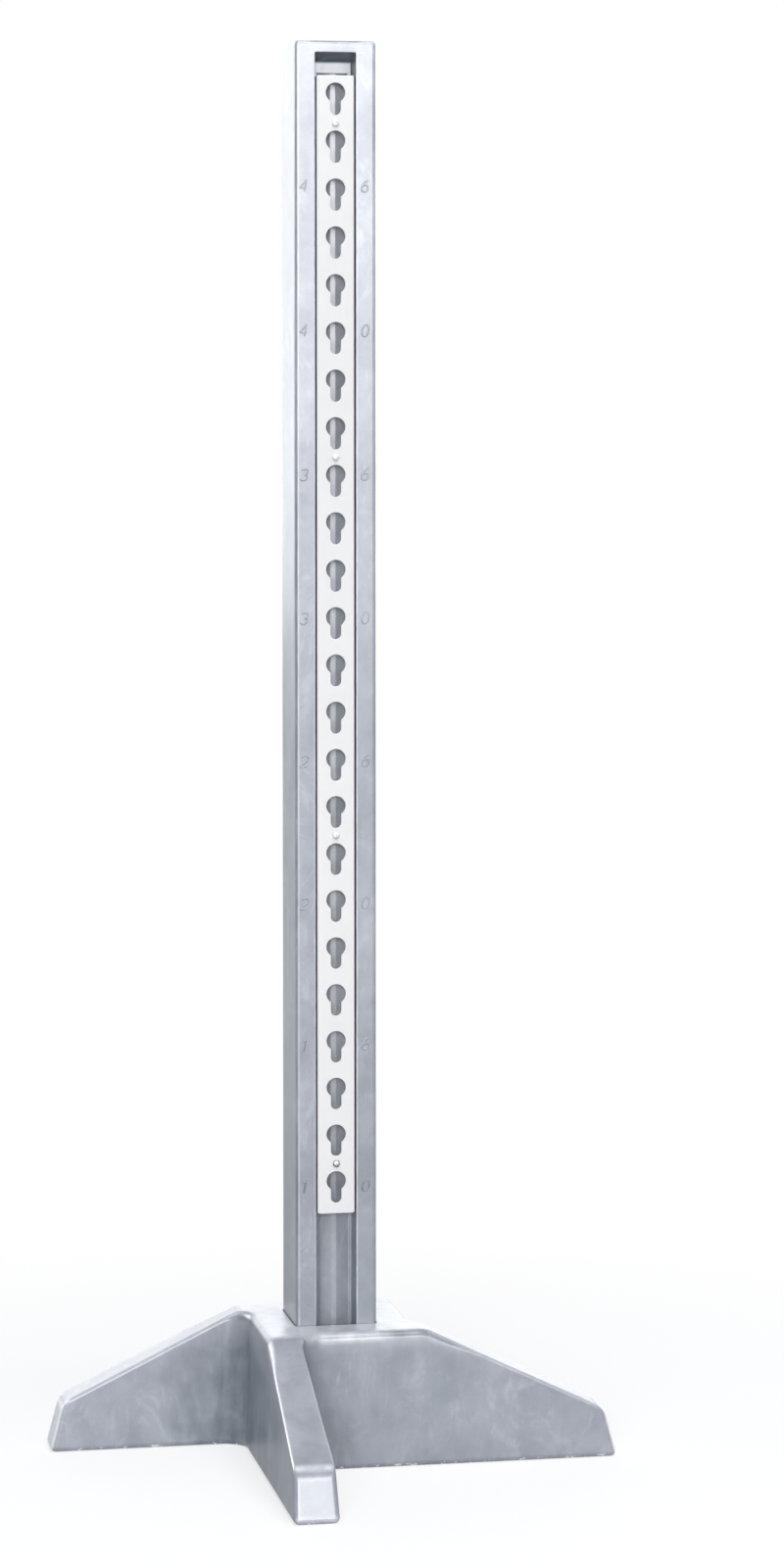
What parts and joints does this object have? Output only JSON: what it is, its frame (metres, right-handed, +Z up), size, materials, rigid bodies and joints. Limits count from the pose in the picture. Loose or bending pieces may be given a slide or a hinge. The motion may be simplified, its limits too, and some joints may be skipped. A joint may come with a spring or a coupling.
{
  "type": "jump standard",
  "caption": "Hollow moulded post with a white keyhole track down its front, standing in the socket of a pinwheel base, to carry a jump's pole cups at stepped heights.",
  "frame": {"origin": "on the floor under the upright's axis, at the middle of the base's outline", "axes": "+Z up along the upright; -Y the way the keyhole track faces; +X to the right, seen from the front"},
  "size_m": [0.6012, 0.6012, 1.528],
  "materials": {
    "grey_plastic": "satin, as it comes from a rotational mould",
    "white_plastic": "smooth, semi-gloss",
    "screw_steel": "zinc plated"
  },
  "bodies": {
    "base": {"base": "grey_plastic"},
    "upright": {"post": "grey_plastic", "track": "white_plastic", "track_screw_1": "screw_steel", "track_screw_2": "screw_steel", "track_screw_3": "screw_steel", "track_screw_4": "screw_steel"}
  },
  "joints": [
    {"name": "upright_lift", "type": "slide", "parent": "base", "child": "upright", "axis": [0, 0, 1], "range_m": [0, 0.15]}
  ]
}
